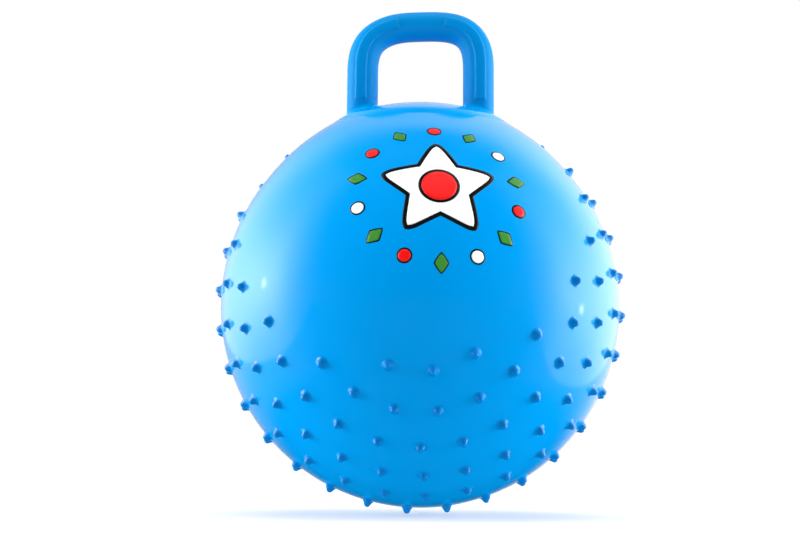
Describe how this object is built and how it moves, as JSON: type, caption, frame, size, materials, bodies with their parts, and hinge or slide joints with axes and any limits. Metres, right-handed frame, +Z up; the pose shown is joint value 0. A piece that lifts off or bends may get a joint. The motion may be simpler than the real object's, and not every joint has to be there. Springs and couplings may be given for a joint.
{
  "type": "hopper ball",
  "caption": "Inflated vinyl ball to sit and bounce on, with blunt nubs round a smooth printed front, an arched carrying handle on a raised pad, and a push-in valve plug at the back.",
  "frame": {"origin": "under the ball's centre, level with the tips of the lowest nubs", "axes": "+Z up through the handle, the smooth printed front faces -Y, the handle's arch stands across the part along X"},
  "size_m": [0.4654, 0.4537, 0.5757],
  "materials": {
    "skin_vinyl": "glossy rotational-moulded soft vinyl",
    "handle_vinyl": "semi-gloss moulded vinyl",
    "valve_vinyl": "soft moulded vinyl",
    "plug_plastic": "moulded white polyethylene",
    "print_ink": "glossy screen-printed vinyl ink"
  },
  "bodies": {
    "ball": {"ball_skin": "skin_vinyl", "front_nubs": "skin_vinyl", "back_nubs": "skin_vinyl", "handle_pad": "skin_vinyl", "handle": "handle_vinyl", "grip_ribs": "handle_vinyl", "valve_seat": "valve_vinyl"},
    "plug": {"valve_plug": "plug_plastic"}
  },
  "joints": [
    {"name": "plug_pull", "type": "slide", "parent": "ball", "child": "plug", "axis": [0, 1, 0], "range_m": [0, 0.024]}
  ]
}
